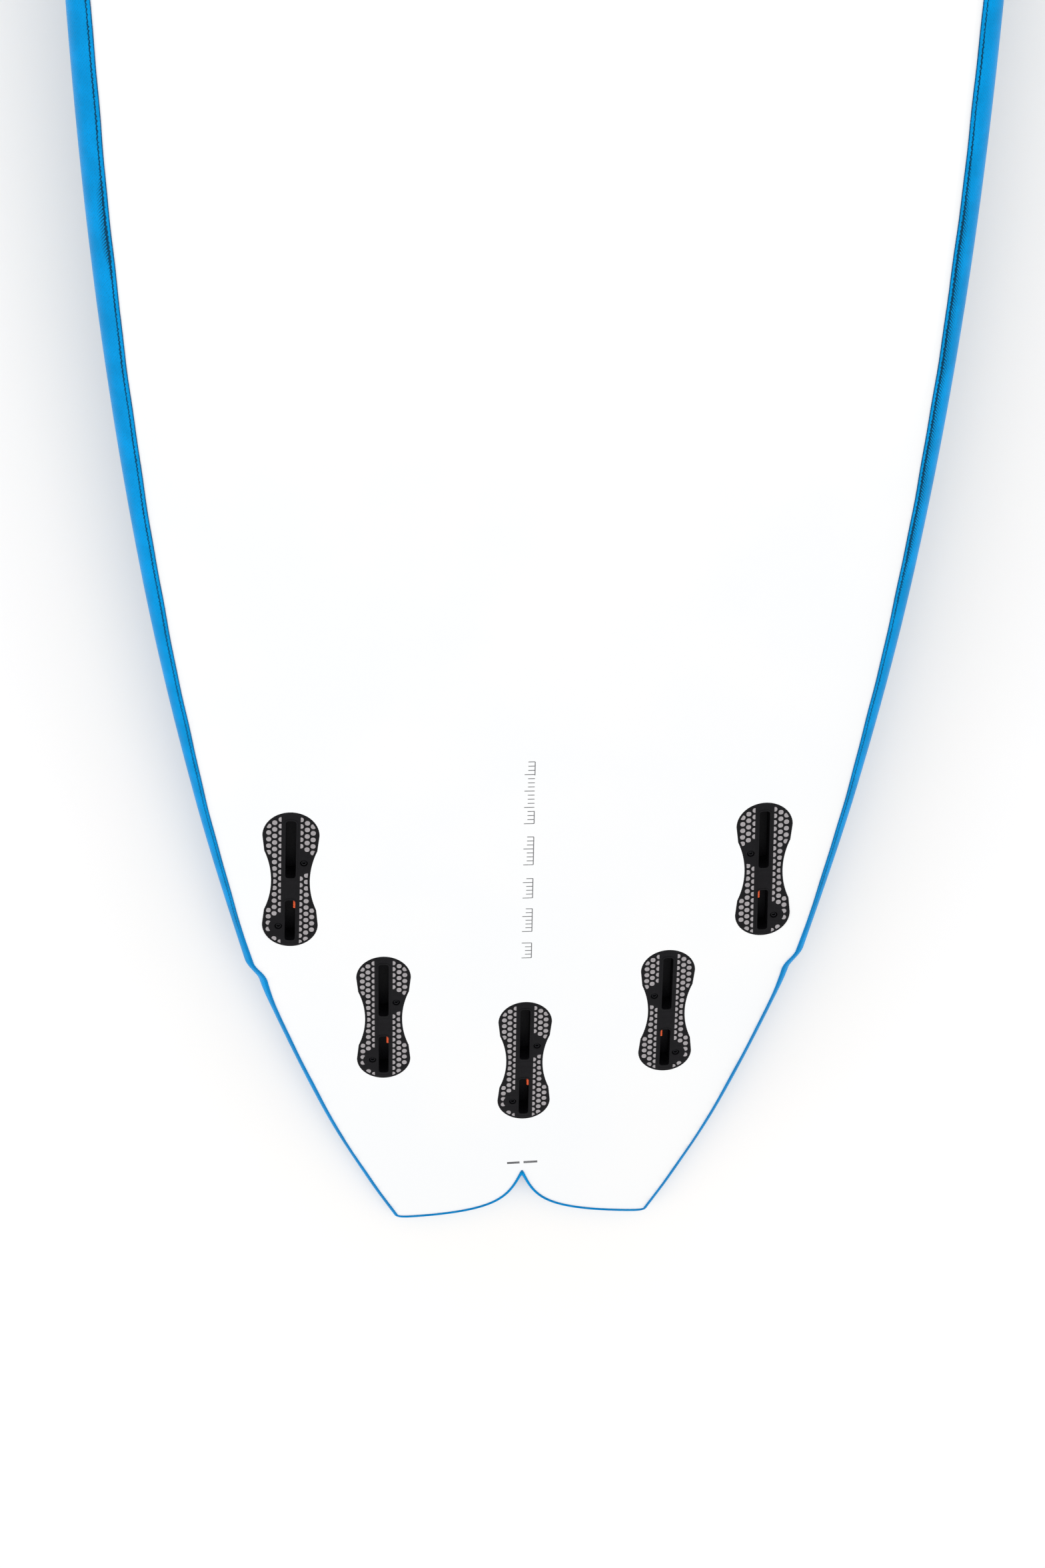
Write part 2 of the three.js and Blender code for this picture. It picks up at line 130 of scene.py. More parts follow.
# name, x, y, toe in degrees, side of the front screw
PLUGS = [
    ("left_front", -164.9, 335.7, -2.8, 1),
    ("right_front", 164.9, 335.7, 2.8, -1),
    ("left_rear", -102.7, 208.3, -0.95, 1),
    ("right_rear", 102.7, 208.3, 0.95, -1),
    ("centre", 0, 162.9, 0, 1),
]
LEASH = {"y": 85, "proud": 0.25, "flange": 16.5, "outer": 14, "inner": 10.8, "rim": 1.4, "depth": 13,
         "floor": 2, "pin": 1.8, "pin_depth": 3.4}


# ---- curves of the board

def curve_through(points, end_slope=None):
    """A smooth curve through (station, value) pairs, for numbers or arrays."""
    stations = np.array([p[0] for p in points], float)
    values = np.array([p[1] for p in points], float)
    last = len(points) - 1
    slopes = np.empty(last + 1)
    for i in range(last + 1):
        before, after = max(i - 1, 0), min(i + 1, last)
        slopes[i] = (values[after] - values[before]) / (stations[after] - stations[before])
    if end_slope is not None:
        slopes[last] = end_slope

    def at(s):
        s = np.asarray(s, float)
        k = np.clip(np.searchsorted(stations, s, side="right"), 1, last)
        span = stations[k] - stations[k - 1]
        t = np.clip((s - stations[k - 1]) / span, 0, 1)
        rise = values[k] - values[k - 1]
        a = slopes[k - 1] * span - rise
        b = rise - slopes[k] * span
        return values[k - 1] + t * rise + t * (1 - t) * (a * (1 - t) + b * t)

    return at


half_width_at = curve_through(
    [(0, 102), (40, 121.9), (110, 152.4), (224, 191.4), (257, 199.5), (400, 227.2), (560, 250), (740, 265),
     (920, 269.9), (1100, 265.8), (1300, 238), (1500, 177), (NOSE_CAP_START, 107)], end_slope=-0.587)
thickness_at = curve_through([(0, 13), (90, 24), (300, 46), (600, 61.5), (900, 65.5), (1200, 62),
                              (1500, 46), (1700, 26), (LENGTH, 12)])
rail_drop_at = curve_through([(0, 5), (300, 13), (900, 24), (1400, 19), (LENGTH, 5)])
rail_lap_at = curve_through([(0, 2.9), (200, 4.3), (336, 6.9), (520, 11.3), (740, 14.7), (900, 15.7),
                             (1400, 15), (LENGTH, 8)])


def round_off(distance, radius):
    t = np.clip(np.asarray(distance, float) / radius, 0, 1)
    return np.sqrt(1 - (1 - t) ** 2)


def smooth_step(t):
    t = np.clip(t, 0, 1)
    return t * t * (3 - 2 * t)


def half_width(y):
    y = np.asarray(y, float)
    back = np.maximum(LENGTH - y, 0)
    nose = np.sqrt((NOSE_SLOPE * back) ** 2 + 2 * NOSE_RADIUS * back)
    wing = WING_STEP * (1 - smooth_step((y - WING_START) / (WING_END - WING_START)))
    side = half_width_at(y) - wing - TIP_RADIUS * (1 - round_off(y, TIP_RADIUS))
    return np.where(y > NOSE_CAP_START, nose, side)


def butt_line(x):
    """The tail's edge: how far it is cut in at x."""
    across = np.hypot(x, CUSP_RADIUS) - CUSP_RADIUS
    return sum(NOTCH_DEPTH * share * np.exp(-across / spread) for share, spread in NOTCH_CURVE)


def butt_slope(x):
    """How steep that edge is at x, away from the cusp."""
    across = np.hypot(x, CUSP_RADIUS) - CUSP_RADIUS
    return sum(NOTCH_DEPTH * share / spread * np.exp(-across / spread) for share, spread in NOTCH_CURVE)


def rocker(y):
    y = np.asarray(y, float)
    tail = -TAIL_ROCKER * (np.maximum(FLAT_SPOT - y, 0) / FLAT_SPOT) ** 2
    nose = -NOSE_ROCKER * (np.maximum(y - FLAT_SPOT, 0) / (LENGTH - FLAT_SPOT)) ** NOSE_ROCKER_POWER
    return tail + nose


def rocker_angle(y):
    return math.atan(float(rocker(y + 1) - rocker(y - 1)) / 2)


def surface_height(side, x, y):
    """Height of the fin side (side 1) or the deck (side -1) above a plan point."""
    across = np.minimum(np.abs(x) / np.maximum(half_width(y), 1e-6), 1)
    from_butt = (y - butt_line(x)) / np.hypot(1, butt_slope(x))
    nose_round = round_off(LENGTH - y, NOSE_RADIUS)
    drop = rail_drop_at(y)
    widest = rocker(y) - drop
    if side > 0:
        edge = 1 - across ** RAIL_POWER
        return widest + drop * np.sqrt(edge) * round_off(from_butt, BUTT_EDGE) * nose_round
    edge = 1 - across ** DOME_POWER
    depth = thickness_at(y) - drop
    return widest - depth * edge ** DOME_ROUNDNESS * round_off(from_butt, BUTT_ROUND) * nose_round


# ---- places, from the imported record

def seat_point(x, y, toe):
    """The fin seat of a plug at (x, y), in the board frame."""
    place = Matrix.Translation((x, y, float(rocker(y))))
    place @= Matrix.Rotation(rocker_angle(y), 4, "X") @ Matrix.Rotation(math.radians(toe), 4, "Z")
    return place


def board_matrix():
    """The board frame in the row frame: a tilt about x and a shift, read from the centre fin seat."""
    seat = next(m for m in record["mounts"] if m["name"] == "centre_fin_seat")
    _, x, y, toe, _ = PLUGS[-1]
    tilt = math.atan2(-seat["axis"][1], seat["axis"][2]) - rocker_angle(y)
    turn = Matrix.Rotation(tilt, 4, "X")
    local = seat_point(x, y, toe) @ Vector((0, -SEAT_BACK, 0))
    shift = Vector(seat["pos_m"]) - turn @ (local * MM)
    return Matrix.Translation(shift) @ turn


BOARD_TO_ROW = board_matrix()


def in_metres(matrix):
    """A board-frame placement in millimetres as one in the row frame in metres."""
    scaled = matrix.copy()
    scaled.translation = matrix.translation * MM
    return BOARD_TO_ROW @ scaled


# ---- node materials

class Nodes:
    """A short way to write a node tree."""

    def __init__(self, name):
        self.material = bpy.data.materials.new(name)
        self.material.use_nodes = True
        self.tree = self.material.node_tree
        self.shader = self.tree.nodes["Principled BSDF"]

    def add(self, kind, inputs=None, **settings):
        node = self.tree.nodes.new("ShaderNode" + kind)
        for key, value in settings.items():
            setattr(node, key, value)
        for key, value in (inputs or {}).items():
            self.set(node.inputs[key], value)
        return node

    def set(self, socket, value):
        if isinstance(value, bpy.types.NodeSocket):
            self.tree.links.new(value, socket)
        else:
            socket.default_value = value

    def math(self, operation, a, b=0.0):
        node = self.add("Math", operation=operation)
        self.set(node.inputs[0], a)
        self.set(node.inputs[1], b)
        return node.outputs[0]

    def plus(self, a, b):
        return self.math("ADD", a, b)

    def minus(self, a, b):
        return self.math("SUBTRACT", a, b)

    def times(self, a, b):
        return self.math("MULTIPLY", a, b)

    def ramp(self, value, low, high, to_low=0.0, to_high=1.0):
        return self.add("MapRange", {
            "Value": value, "From Min": low, "From Max": high, "To Min": to_low, "To Max": to_high,
        }, interpolation_type="SMOOTHSTEP").outputs["Result"]

    def mix(self, factor, a, b):
        node = self.add("Mix", data_type="RGBA")
        self.set(node.inputs[0], factor)
        self.set(node.inputs[6], a)
        self.set(node.inputs[7], b)
        return node.outputs[2]

    def point(self, scale=(1, 1, 1)):
        """The object's own coordinates, scaled."""
        own = self.add("TexCoord").outputs["Object"]
        return self.add("Mapping", {"Vector": own, "Scale": scale}).outputs[0]

    def noise(self, vector, scale, detail=3.0, rough=0.5):
        return self.add("TexNoise", {
            "Vector": vector, "Scale": scale, "Detail": detail, "Roughness": rough,
        }).outputs["Fac"]

    def bump(self, height, strength, distance, after=None):
        node = self.add("Bump", {"Height": height, "Strength": strength, "Distance": distance})
        if after is not None:
            self.set(node.inputs["Normal"], after)
        return node.outputs["Normal"]

    def finish(self, colour, rough, normal=None, **others):
        inputs = {"Base_Color": colour, "Roughness": rough, **others}
        if normal is not None:
            inputs["Normal"] = normal
        for key, value in inputs.items():
            self.set(self.shader.inputs[key.replace("_", " ")], value)
        return self.material


def srgb(red, green, blue):
    """A shader colour from 0-255 display values."""
    def linear(c):
        c /= 255
        return c / 12.92 if c <= 0.04045 else ((c + 0.055) / 1.055) ** 2.4
    return (linear(red), linear(green), linear(blue), 1.0)


def white_laminate_material():
    """White glass laminate under a gloss coat: a fine cloth weave, and slow waves from sanding."""
    n = Nodes("white_laminate")
    at = n.point()
    clouds = n.noise(at, 9, 4)
    warp = n.add("TexWave", {"Vector": at, "Scale": 320, "Distortion": 0.4}, bands_direction="X")
    weft = n.add("TexWave", {"Vector": at, "Scale": 320, "Distortion": 0.4}, bands_direction="Y")
    cloth = n.times(warp.outputs["Fac"], weft.outputs["Fac"])
    colour = n.mix(n.ramp(clouds, 0.35, 0.7), srgb(248, 249, 250), srgb(250, 250, 250))
    colour = n.mix(n.times(cloth, 0.1), colour, srgb(240, 242, 244))
    normal = n.bump(cloth, 0.04, 0.00005)
    normal = n.bump(n.noise(at, 14, 1), 0.05, 0.002, normal)
    rough = n.ramp(n.noise(at, 40, 3), 0.3, 0.75, 0.10, 0.2)
    return n.finish(colour, rough, normal, Coat_Weight=0.5, Coat_Roughness=0.04,
                    Specular_IOR_Level=0.5)


def rail_material():
    """Blue fibre cloth: diagonal weave, the ragged dark cut edge of the under layer, a gloss coat."""
    n = Nodes("blue_rail_fibre")
    thread_pitch = 2.0
    run, lap, edge, cut, fray = (n.add("Attribute", attribute_name=name).outputs["Fac"]
                                 for name in ("run_mm", "lap_mm", "edge_mm", "cut_edge", "fray"))
    at = n.add("CombineXYZ", {"X": run, "Y": lap}).outputs[0]
    slow = n.noise(n.add("CombineXYZ", {"X": run}).outputs[0], 0.02, 2)
    patches = n.noise(at, 0.05, 3)
    # two sets of diagonal threads
    threads = []
    for direction in (1, -1):
        along = n.plus(run, n.times(lap, 1.1 * direction))
        wander = n.times(n.noise(at, 0.25, 2), 1.6)
        phase = n.times(n.plus(along, wander), 2 * math.pi / thread_pitch)
        threads.append(n.math("SINE", phase))
    weave = n.times(n.plus(threads[0], threads[1]), 0.25)
    weave = n.plus(weave, 0.5)
    fine = n.noise(at, 0.9, 3, 0.6)
    colour = n.mix(n.ramp(patches, 0.3, 0.7), srgb(0, 147, 215), srgb(0, 160, 234))
    shade = n.times(n.times(weave, n.ramp(fine, 0.3, 0.7)), 0.45)
    colour = n.mix(shade, colour, srgb(0, 92, 150))
    # the under layer's cut edge is toothed; its middle wanders and its width changes along the rail
    teeth = n.math("PINGPONG", n.plus(run, n.times(n.noise(at, 0.3, 2), 3.0)), 1.5)
    jag = n.times(n.minus(teeth, 0.75), 0.4)
    jag = n.plus(jag, n.times(n.minus(n.noise(at, 0.9, 4, 0.8), 0.5), 2.2))
    past = n.minus(lap, edge)
    off = n.math("ABSOLUTE", n.plus(past, jag))
    width = n.plus(n.ramp(slow, 0.35, 0.65, 0.42, 0.68), n.times(fray, 0.35))
    line = n.minus(1.0, n.ramp(n.math("DIVIDE", off, width), 0.55, 1.2))
    # where it is frayed, loose dark threads reach from it towards the rail's edge
    reach = n.plus(n.times(fray, 5.0), 0.9)
    fade = n.minus(1.0, n.ramp(n.math("DIVIDE", past, reach), 0.0, 1.0))
    hatch = n.times(n.ramp(threads[0], -0.3, 0.5), n.ramp(fine, 0.3, 0.5, 0.4, 1.0))
    hatch = n.plus(0.12, hatch)
    loose = n.times(n.times(fade, n.ramp(past, -0.2, 0.4)), hatch)
    dark = n.math("MAXIMUM", n.times(line, 0.9), n.times(loose, 0.9))
    colour = n.mix(n.times(dark, cut), colour, srgb(10, 44, 64))
    # a thin dark edge where the lap was cut
    trim = n.minus(1.0, n.ramp(lap, 0.1, 0.5))
    trim = n.times(n.times(trim, cut), n.ramp(fine, 0.3, 0.55, 0.35, 0.8))
    colour = n.mix(trim, colour, srgb(10, 44, 76))
    # towards the tail the under layer reaches the lap's edge, and only darkens it
    inner = n.minus(1.0, n.ramp(past, -0.5, 0.7))
    deep = n.times(n.times(inner, n.minus(1.0, cut)), 0.45)
    colour = n.mix(deep, colour, srgb(0, 98, 158))
    normal = n.bump(weave, 0.08, 0.0001)
    rough = n.ramp(fine, 0.3, 0.8, 0.26, 0.38)
    return n.finish(colour, rough, normal, Coat_Weight=0.02, Coat_Roughness=0.1,
                    Specular_IOR_Level=0.03)


def foam_material():
    """White polystyrene foam: packed beads, each a little rounded, with painted shade towards each bead's
    rim.
    """
    n = Nodes("foam")
    at = n.point()
    beads = n.add("TexVoronoi", {"Vector": at, "Scale": 330}, feature="DISTANCE_TO_EDGE")
    cell = n.add("TexVoronoi", {"Vector": at, "Scale": 330})
    edge = n.ramp(beads.outputs["Distance"], 0.0, 0.12)
    # painted shade: darker in the grooves where the beads meet and towards each bead's rim
    colour = n.mix(edge, srgb(214, 210, 200), srgb(246, 244, 236))
    bead_rim_shade = n.times(cell.outputs["Distance"], 0.25)
    colour = n.mix(bead_rim_shade, colour, srgb(232, 228, 214))
    normal = n.bump(edge, 0.35, 0.0004)
    return n.finish(colour, 0.85, normal)


def black_plastic_material():
    """Black moulded plastic: a fine grain, and faint grey scuffs where it was sanded flush."""
    n = Nodes("black_plug")
    at = n.point()
    grain = n.noise(at, 2600, 2, 0.6)
    scuff = n.noise(n.point((1, 0.25, 1)), 900, 4, 0.7)
    colour = n.mix(n.ramp(scuff, 0.5, 0.85), srgb(15, 14, 17), srgb(30, 29, 33))
    colour = n.mix(n.ramp(n.noise(at, 160, 2), 0.4, 0.7, 0.0, 0.35), colour, srgb(22, 21, 24))
    normal = n.bump(grain, 0.25, 0.00006)
    rough = n.ramp(scuff, 0.3, 0.8, 0.4, 0.55)
    return n.finish(colour, rough, normal, Specular_IOR_Level=0.12)


def resin_material():
    """Cured resin with white filler: a pale warm grey with small bubbles, darker inside as painted shade."""
    n = Nodes("cured_resin")
    at = n.point()
    cloud = n.noise(at, 420, 3, 0.6)
    bubbles = n.add("TexVoronoi", {"Vector": at, "Scale": 900})
    pit_shade_and_depth = n.ramp(bubbles.outputs["Distance"], 0.0, 0.22)
    colour = n.mix(n.ramp(cloud, 0.3, 0.7), srgb(156, 151, 153), srgb(170, 165, 167))
    # painted shade: darker inside each bubble's dimple
    colour = n.mix(pit_shade_and_depth, srgb(138, 132, 135), colour)
    normal = n.bump(pit_shade_and_depth, 0.3, 0.0002)
    rough = n.ramp(cloud, 0.3, 0.8, 0.35, 0.5)
    return n.finish(colour, rough, normal, Specular_IOR_Level=0.3)


def screw_material():
    """Dark oxide steel: turned, with brighter worn patches."""
    n = Nodes("screw_steel")
    at = n.point()
    turned = n.noise(n.point((1, 1, 9)), 700, 3, 0.6)
    worn = n.ramp(n.noise(at, 1200, 3, 0.6), 0.52, 0.75)
    colour = n.mix(worn, srgb(30, 30, 33), srgb(96, 96, 100))
    normal = n.bump(turned, 0.15, 0.00008)
    rough = n.ramp(turned, 0.2, 0.8, 0.28, 0.48)
    return n.finish(colour, rough, normal, Metallic=0.9)


def latch_material():
    """Orange moulded plastic with a fine grain and faint flow marks."""
    n = Nodes("orange_latch")
    at = n.point()
    flow = n.noise(n.point((1, 1, 4)), 350, 4, 0.6)
    colour = n.mix(n.ramp(flow, 0.3, 0.7), srgb(232, 74, 12), srgb(248, 98, 26))
    normal = n.bump(n.noise(at, 2400, 2), 0.2, 0.00005)
    rough = n.ramp(flow, 0.3, 0.8, 0.32, 0.48)
    return n.finish(colour, rough, normal)


def spring_material():
    """Bright drawn spring wire with fine lines along it."""
    n = Nodes("spring_steel")
    lines = n.noise(n.point((6, 1, 1)), 1500, 3, 0.6)
    colour = n.mix(n.ramp(lines, 0.3, 0.7), srgb(150, 153, 158), srgb(196, 199, 203))
    normal = n.bump(lines, 0.2, 0.00003)
    rough = n.ramp(lines, 0.3, 0.8, 0.2, 0.35)
    return n.finish(colour, rough, normal, Metallic=1.0)


def pencil_material():
    """Soft pencil on the laminate: grey, with the paper-like gaps a pencil leaves."""
    n = Nodes("pencil")
    grain = n.noise(n.point(), 2500, 3, 0.7)
    colour = n.mix(n.ramp(grain, 0.45, 0.75), srgb(84, 84, 87), srgb(168, 169, 171))
    return n.finish(colour, n.ramp(grain, 0.3, 0.8, 0.45, 0.6))


def floor_material():
    """Pale smooth studio floor with faint unevenness. Under and beside the board it is painted a little
    darker and warmer: painted shade, and a warmer colour that offsets the blue light the rails throw on it."""
    n = Nodes("studio_floor")
    at = n.point()
    painted_shade_point = n.point((1.6, 0.62, 1))
    away = n.add("VectorMath", {"Vector": painted_shade_point}, operation="LENGTH").outputs["Value"]
    colour = n.mix(n.ramp(n.noise(at, 2.5, 4), 0.35, 0.7), srgb(247, 248, 250), srgb(250, 250, 252))
    # painted shade and a painted warm colour towards the board, offsetting the rails' blue bounce light
    colour = n.mix(n.ramp(away, 0.3, 0.85), srgb(246, 241, 233), colour)
    normal = n.bump(n.noise(at, 30, 4), 0.03, 0.002)
    rough = n.ramp(n.noise(at, 6, 3), 0.3, 0.7, 0.55, 0.7)
    return n.finish(colour, rough, normal, Specular_IOR_Level=0.2,
                    Emission_Color=(1, 1, 1, 1), Emission_Strength=0.05)


MATERIALS = {
    "white_laminate": white_laminate_material(),
    "blue_rail_fibre": rail_material(),
    "foam": foam_material(),
    "black_plug": black_plastic_material(),
    "cured_resin": resin_material(),
    "screw_steel": screw_material(),
    "orange_latch": latch_material(),
    "spring_steel": spring_material(),
    "pencil": pencil_material(),
}


# ---- making pieces

def linked(name, data):
    """A new object in the scene."""
    thing = bpy.data.objects.new(name, data)
    bpy.context.scene.collection.objects.link(thing)
    return thing


def place_piece(name, mesh, slot, place, nodes, body=BOARD):
    """One named piece: a mesh in metres at `place`, in the slot's material, riding on a body and
    standing for CAD nodes."""
    piece = linked(name, mesh)
    if not mesh.materials:
        mesh.materials.append(MATERIALS[slot])
    piece.matrix_world = place
    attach(piece, body)
    if nodes:
        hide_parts(*nodes)


def shell_mesh(name, outer, normals, faces, thickness, attributes=None):
    """A closed sheet `thickness` thick under the outer points, shaded with the given normals.
    Points and normals are the board frame's; the mesh is in the row frame, in metres."""
    count = len(outer)
    turn = np.array(BOARD_TO_ROW.to_3x3())
    points = np.vstack([outer, outer - normals * thickness]) * MM
    points = points @ turn.T + np.array(BOARD_TO_ROW.translation)
    normals = normals @ turn.T
    edges = {}
    for face in faces:
        for a, b in zip(face, face[1:] + face[:1]):
            edges[(a, b)] = True
    rim = [(a, b) for a, b in edges if (b, a) not in edges]
    all_faces = list(faces)
    all_faces += [[i + count for i in reversed(face)] for face in faces]
    all_faces += [[b, a, a + count, b + count] for a, b in rim]
    mesh = bpy.data.meshes.new(name)
    mesh.from_pydata(points.tolist(), [], all_faces)
    mesh.update()
    mesh.polygons.foreach_set("use_smooth", [True] * len(mesh.polygons))
    for key, values in (attributes or {}).items():
        layer = mesh.attributes.new(key, "FLOAT", "POINT")
        layer.data.foreach_set("value", np.tile(values, 2).astype(np.float32))
    split = []
    sheet = len(faces)
    for index, polygon in enumerate(mesh.polygons):
        flat = tuple(polygon.normal)
        for vertex in polygon.vertices:
            if index < sheet:
                split.append(tuple(normals[vertex]))
            elif index < 2 * sheet:
                split.append(tuple(-normals[vertex - count]))
            else:
                split.append(flat)
    mesh.normals_split_custom_set(split)
    return mesh


def grid_faces(rows, columns):
    faces = []
    for r in range(rows - 1):
        for c in range(columns - 1):
            a = r * columns + c
            faces.append([a, a + 1, a + columns + 1, a + columns])
    return faces


def grid_normals(points):
    """Unit normals of a grid of points (rows, columns, 3), by central differences."""
    along = np.gradient(points, axis=0)
    across = np.gradient(points, axis=1)
    normals = np.cross(across, along)
    size = np.linalg.norm(normals, axis=2, keepdims=True)
    return normals / np.maximum(size, 1e-12)


# ---- the board's outline and laps

def solve_corner(width, line):
    """Where the side x = width(y) meets the tail's line y = line(x)."""
    x = 90.0
    for _ in range(60):
        x = float(width(line(x)))
    return x, float(line(x))


def wobble(y):
    """The hand-cut wander of a lap edge."""
    return 0.16 * np.sin(y / 17.0) + 0.1 * np.sin(y / 7.3 + 1)


def half_outline():
    """The outline, the fin side's lap line and the deck's, for x >= 0 from the notch to the nose."""
    tip_x, tip_y = solve_corner(half_width, butt_line)
    s = np.linspace(0, 1, 84) ** 1.7
    butt_x = SEAM + (tip_x - SEAM) * s
    wing_rear, wing_front, nose_start = WING_START - 8, WING_END + 8, 1600
    near_tip = tip_y + 20 * np.linspace(0, 1, 26)[1:] ** 2
    to_wing = np.linspace(near_tip[-1], wing_rear, 36)[1:]
    wing = np.linspace(wing_rear, wing_front, 34)[1:]
    side = np.linspace(wing_front, nose_start, 170)[1:]
    nose = LENGTH - (LENGTH - nose_start) * (1 - np.linspace(0, 1, 60)[1:]) ** 2
    rail_y = np.concatenate([near_tip, to_wing, wing, side, nose])
    rail_x = np.maximum(half_width(rail_y), SEAM)
    outline = np.column_stack([np.concatenate([butt_x, rail_x]),
                               np.concatenate([butt_line(butt_x), rail_y])])

    def lap_line(lap, tail_line, nose_bare, nose_fade, round_start):
        """The outline brought in by lap(y) at the side, and by nose_bare at the nose."""
        corner_x, corner_y = solve_corner(lambda y: half_width(y) - lap(y), tail_line)
        x = SEAM + (butt_x - SEAM) * (corner_x - SEAM) / (tip_x - SEAM)
        y = rail_y + (corner_y - tip_y) * np.clip(1 - (rail_y - tip_y) / 60, 0, 1) ** 2
        y = y - nose_bare * np.clip((rail_y - (LENGTH - nose_fade)) / nose_fade, 0, 1) ** 2
        side_x = (half_width(y) - lap(y)) * round_off(LENGTH - nose_bare - y, round_start)
        side_x = np.maximum(side_x, SEAM)
        return np.column_stack([np.concatenate([x, side_x]), np.concatenate([tail_line(x), y])])

    def fin_tail(x):
        return butt_line(x) + TAIL_LAP * np.hypot(1, butt_slope(x))

    def fin_side_lap(y):
        slope = (half_width(y + 1) - half_width(y - 1)) / 2
        at_wing = np.clip(1 - np.abs(y - (WING_START + WING_END) / 2) / WING_LAP_REACH, 0, 1)
        return rail_lap_at(y) * (1 + at_wing * (np.hypot(1, slope) * WING_LAP - 1)) + wobble(y)

    fin_lap = lap_line(fin_side_lap, fin_tail, FIN_SIDE_END, 150, 20)
    deck_lap = lap_line(lambda y: DECK_LAP + wobble(y), lambda x: butt_line(x) + DECK_TAIL_LAP,
                        DECK_END, 300, 40)
    return outline, fin_lap, deck_lap


OUTLINE, FIN_LAP, DECK_LAP_LINE = half_outline()


# ---- rail wraps

def rail_wrap(side):
    """The coloured cloth round one rail and that half of the tail's edge. side -1 is the left."""
    shares = [(1, FIN_LAP, s) for s in np.linspace(1, 0, 16, endpoint=False)]
    shares += [(-1, DECK_LAP_LINE, s) for s in np.linspace(0, 1, 30)]
    columns = []
    for face, lap_line, s in shares:
        plan = OUTLINE + (lap_line - OUTLINE) * s * s
        z = surface_height(face, plan[:, 0], plan[:, 1])
        columns.append(np.column_stack([side * plan[:, 0], plan[:, 1], z]))
    points = np.stack(columns, axis=1)
    if side > 0:
        points = points[:, ::-1]
    lap = np.zeros(points.shape[:2])
    lap[:, 1:] = np.cumsum(np.linalg.norm(np.diff(points, axis=1), axis=2), axis=1)
    if side > 0:
        lap = lap[:, -1:] - lap
    run = np.zeros(len(points))
    run[1:] = np.cumsum(np.linalg.norm(np.diff(OUTLINE, axis=0), axis=1))
    run = np.repeat((run + (RIGHT_WEAVE_SHIFT if side > 0 else 0))[:, None], points.shape[1], axis=1)
    up = OUTLINE[:, 1]
    edge = np.interp(up, [0, 150, 285, 320, 600, 900, LENGTH], [1.5, 1.8, 2.1, 2.0, 2.5, 2.6, 2.4])
    cut = np.interp(up, [280, 300, 450, 620], [0, 0.6, 0.75, 1])
    frayed = [540, 600, 800, 850] if side > 0 else [775, 795, 825, 840]
    fray = np.interp(up, frayed, [0, 1, 1, 0])
    edge, cut, fray = (np.repeat(values[:, None], points.shape[1], axis=1).ravel()
                       for values in (edge, cut, fray))
    mesh = shell_mesh("rail_wrap", points.reshape(-1, 3), grid_normals(points).reshape(-1, 3),
                      grid_faces(*points.shape[:2]), SKIN,
                      {"run_mm": run.ravel(), "lap_mm": lap.ravel(), "edge_mm": edge, "cut_edge": cut,
                       "fray": fray})
    name = "left" if side < 0 else "right"
    place_piece(f"rail_cloth_{name}", mesh, "blue_rail_fibre", Matrix(), [f"rail_wrap_{name}"])


# ---- laminates

def inside(points, loop):
    """Which points are inside a closed loop."""
    found = np.zeros(len(points), bool)
    x, y = points[:, 0], points[:, 1]
    for (x0, y0), (x1, y1) in zip(loop, np.roll(loop, -1, axis=0)):
        crosses = (y0 > y) != (y1 > y)
        at = (x1 - x0) * (y - y0) / (y1 - y0 if y1 != y0 else 1e-12) + x0
        found ^= crosses & (x < at)
    return found


def laminate_mesh(name, side, lap_line, openings):
    """One face of the board in from its lap line, with openings, as a thin closed sheet."""
    row_gap, in_row, clearance = 11.0, 47, 2.5
    border = np.vstack([lap_line, lap_line[::-1] * [-1, 1]])
    loops = [border, *openings]
    grid = []
    for y in np.arange(8, LENGTH - 15, row_gap):
        reach = float(half_width(y))
        for u in np.linspace(-1, 1, in_row):
            grid.append((reach * math.sin(u * math.pi / 2), y))
    grid = np.array(grid)
    keep = inside(grid, border)
    for loop in loops:
        gaps = np.min(np.linalg.norm(grid[:, None] - loop[None, ::3], axis=2), axis=1)
        keep &= gaps > clearance
    for loop in openings:
        keep &= ~inside(grid, loop)
    grid = grid[keep]
    points, edges = [], []
    for loop in loops:
        start = len(points)
        points += [Vector(p) for p in loop]
        edges += [(start + i, start + (i + 1) % len(loop)) for i in range(len(loop))]
    points += [Vector(p) for p in grid]
    plan, _, triangles, _, _, _ = delaunay_2d_cdt(points, edges, [], 0, 1e-5)
    plan = np.array([tuple(p) for p in plan])
    triangles = np.array([list(t) for t in triangles])
    middles = plan[triangles].mean(axis=1)
    keep = inside(middles, border)
    for loop in openings:
        keep &= ~inside(middles, loop)
    triangles = triangles[keep]

    def height(x, y):
        return surface_height(side, x, y)

    x, y = plan[:, 0], plan[:, 1]
    step = 0.05
    slope_x = (height(x + step, y) - height(x - step, y)) / (2 * step)
    slope_y = (height(x, y + step) - height(x, y - step)) / (2 * step)
    normals = side * np.column_stack([-slope_x, -slope_y, np.ones(len(plan))])
    normals /= np.linalg.norm(normals, axis=1, keepdims=True)
    outer = np.column_stack([x, y, height(x, y)])
    a, b, c = (outer[triangles[:, k]] for k in range(3))
    up = np.cross(b - a, c - a)[:, 2] * side
    triangles[up < 0] = triangles[up < 0][:, ::-1]
    return shell_mesh(name, outer, normals, triangles.tolist(), SKIN)


# ---- outlines in a plug's frame

def arc(x, y, radius, start, end, segments):
    angles = np.radians(np.linspace(start, end, segments + 1))
    return [(x + radius * math.cos(a), y + radius * math.sin(a)) for a in angles]


